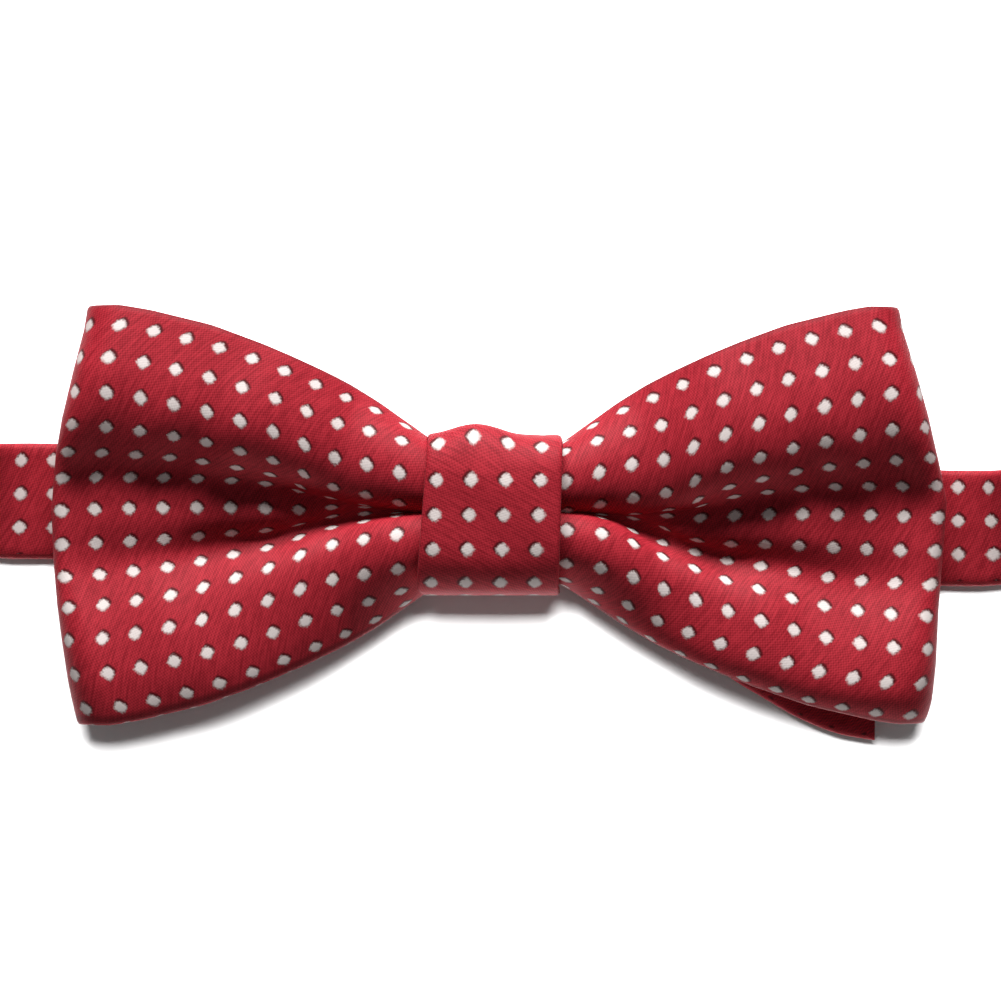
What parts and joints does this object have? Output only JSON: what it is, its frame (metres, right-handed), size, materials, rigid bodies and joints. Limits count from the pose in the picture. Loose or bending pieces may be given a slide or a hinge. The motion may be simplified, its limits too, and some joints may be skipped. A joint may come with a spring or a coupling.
{
  "type": "bow tie",
  "caption": "Pre-tied bow tie in dotted cloth with a folded bow, rear layer, knot band and adjustable neck strap that fastens with a hook and eye.",
  "frame": {"origin": "on the flat back of the knot, at its centre", "axes": "+X across the bow's width, +Y up the bow, +Z out of its front; the tie lies face up and its neck loop runs toward +Y"},
  "size_m": [0.1854, 0.1142, 0.0189],
  "materials": {
    "dotted_cloth": "woven satin with small white diamond dots",
    "interlining_cloth": "matte",
    "nickel_wire": "polished nickel plate",
    "sewing_thread": "matte"
  },
  "bodies": {
    "tie": {"front_bow_shell": "dotted_cloth", "front_bow_interlining": "interlining_cloth", "rear_tails_shell": "dotted_cloth", "rear_tails_interlining": "interlining_cloth", "knot_wrap": "dotted_cloth", "knot_interlining": "interlining_cloth", "neck_strap_shell": "dotted_cloth", "neck_strap_interlining": "interlining_cloth", "strap_tail": "dotted_cloth", "eye_bar_tack": "sewing_thread"},
    "slider": {"slider_frame": "nickel_wire", "slider_strap_loop": "dotted_cloth", "slider_bar_tack": "sewing_thread"},
    "hook": {"hook_wire": "nickel_wire"},
    "eye": {"eye_wire": "nickel_wire"}
  },
  "joints": [
    {"name": "slider_slide", "type": "slide", "parent": "tie", "child": "slider", "axis": [1, 0, 0], "range_m": [0, 0.036], "deforming": ["strap_tail"]},
    {"name": "hook_pivot", "type": "hinge", "parent": "tie", "child": "hook", "pos_m": [0.014, 0.0797, 0.009], "axis": [0, 0, 1], "range_deg": [-60, 60]},
    {"name": "eye_pivot", "type": "hinge", "parent": "tie", "child": "eye", "pos_m": [0.04, 0.0797, 0.009], "axis": [0, 0, 1], "range_deg": [-60, 60]}
  ]
}
